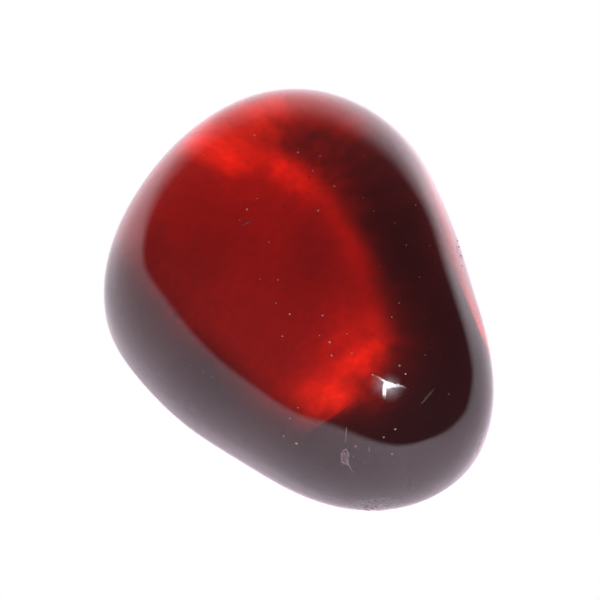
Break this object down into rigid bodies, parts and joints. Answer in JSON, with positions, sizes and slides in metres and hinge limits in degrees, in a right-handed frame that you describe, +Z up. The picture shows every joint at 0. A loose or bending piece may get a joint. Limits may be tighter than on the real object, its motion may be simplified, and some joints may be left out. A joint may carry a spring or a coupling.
{
  "type": "polished red amber pebble",
  "caption": "Polished, tumbled pebble of clear deep red amber, rounded triangular and domed, with a flat underside to rest on.",
  "frame": {"origin": "under the middle of the pebble, on the surface that it rests on", "axes": "+Z up through the dome, +Y towards the narrow end, +X to the right as seen from the blunt end"},
  "size_m": [0.0256, 0.0308, 0.0162],
  "materials": {
    "amber": "clear deep red fossil resin, polished"
  },
  "bodies": {
    "root": {"amber": "amber"}
  },
  "joints": []
}
